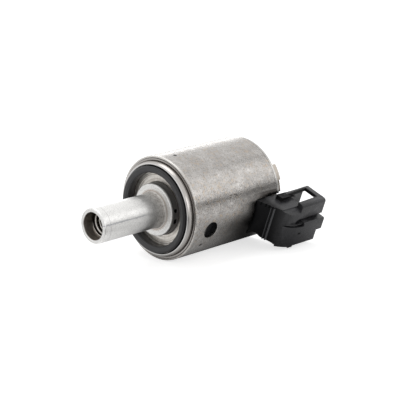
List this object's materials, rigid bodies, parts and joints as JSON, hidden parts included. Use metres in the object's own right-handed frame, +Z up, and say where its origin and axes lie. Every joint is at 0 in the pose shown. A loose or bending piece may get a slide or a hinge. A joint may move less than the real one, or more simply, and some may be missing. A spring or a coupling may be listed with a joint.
{
  "type": "transmission solenoid valve",
  "caption": "Round steel solenoid valve with an aluminium feed tube, a black face seal, and a black two-pin connector on its side near the rear.",
  "frame": {"origin": "on the valve's axis, in the plane of the face seal's front face", "axes": "+Y along the axis towards the can's rear, so the nozzle points to -Y; +Z up as the valve lies on its can; the connector stands out towards +X, 20 degrees below it"},
  "size_m": [0.0388, 0.0691, 0.03],
  "materials": {
    "can_steel": "tumbled satin",
    "pole_steel": "turned",
    "rim_steel": "bright turned",
    "seal_rubber": "satin",
    "nozzle_aluminium": "satin",
    "insert_steel": "machined",
    "hub_dark": "matt",
    "ball_steel": "polished",
    "bush_bronze": "sintered",
    "iron": "turned",
    "bobbin_plastic": "moulded",
    "copper": "enamelled",
    "jacket_plastic": "moulded",
    "cover_steel": "pressed",
    "terminal_tin": "tin plated",
    "connector_plastic": "satin moulded"
  },
  "bodies": {
    "housing": {"can": "can_steel", "front_plate": "pole_steel", "rim_ring": "rim_steel", "face_seal": "seal_rubber", "nozzle": "nozzle_aluminium", "seat_insert": "insert_steel", "inlet_screen": "insert_steel", "hub": "hub_dark", "valve_seat": "insert_steel", "front_guide": "bush_bronze", "return_spring": "ball_steel", "fixed_core": "iron", "rear_bush": "bush_bronze", "adjusting_screw": "rim_steel", "sleeve": "insert_steel", "bobbin": "bobbin_plastic", "coil_winding": "copper", "coil_jacket": "jacket_plastic", "coil_leads": "copper", "bobbin_seal": "seal_rubber", "spring_washer": "ball_steel", "flux_plate": "pole_steel", "rear_cover": "cover_steel", "terminal_upper": "terminal_tin", "terminal_lower": "terminal_tin", "connector": "connector_plastic"},
    "armature": {"armature": "iron", "push_rod": "ball_steel", "poppet_ball": "ball_steel", "spring_cup": "insert_steel"}
  },
  "joints": [
    {"name": "armature_slide", "type": "slide", "parent": "housing", "child": "armature", "axis": [0, 1, 0], "range_m": [0, 0.0006], "stiffness_N_per_m": 3000, "springref_m": -0.002, "deforming": ["return_spring"]}
  ]
}
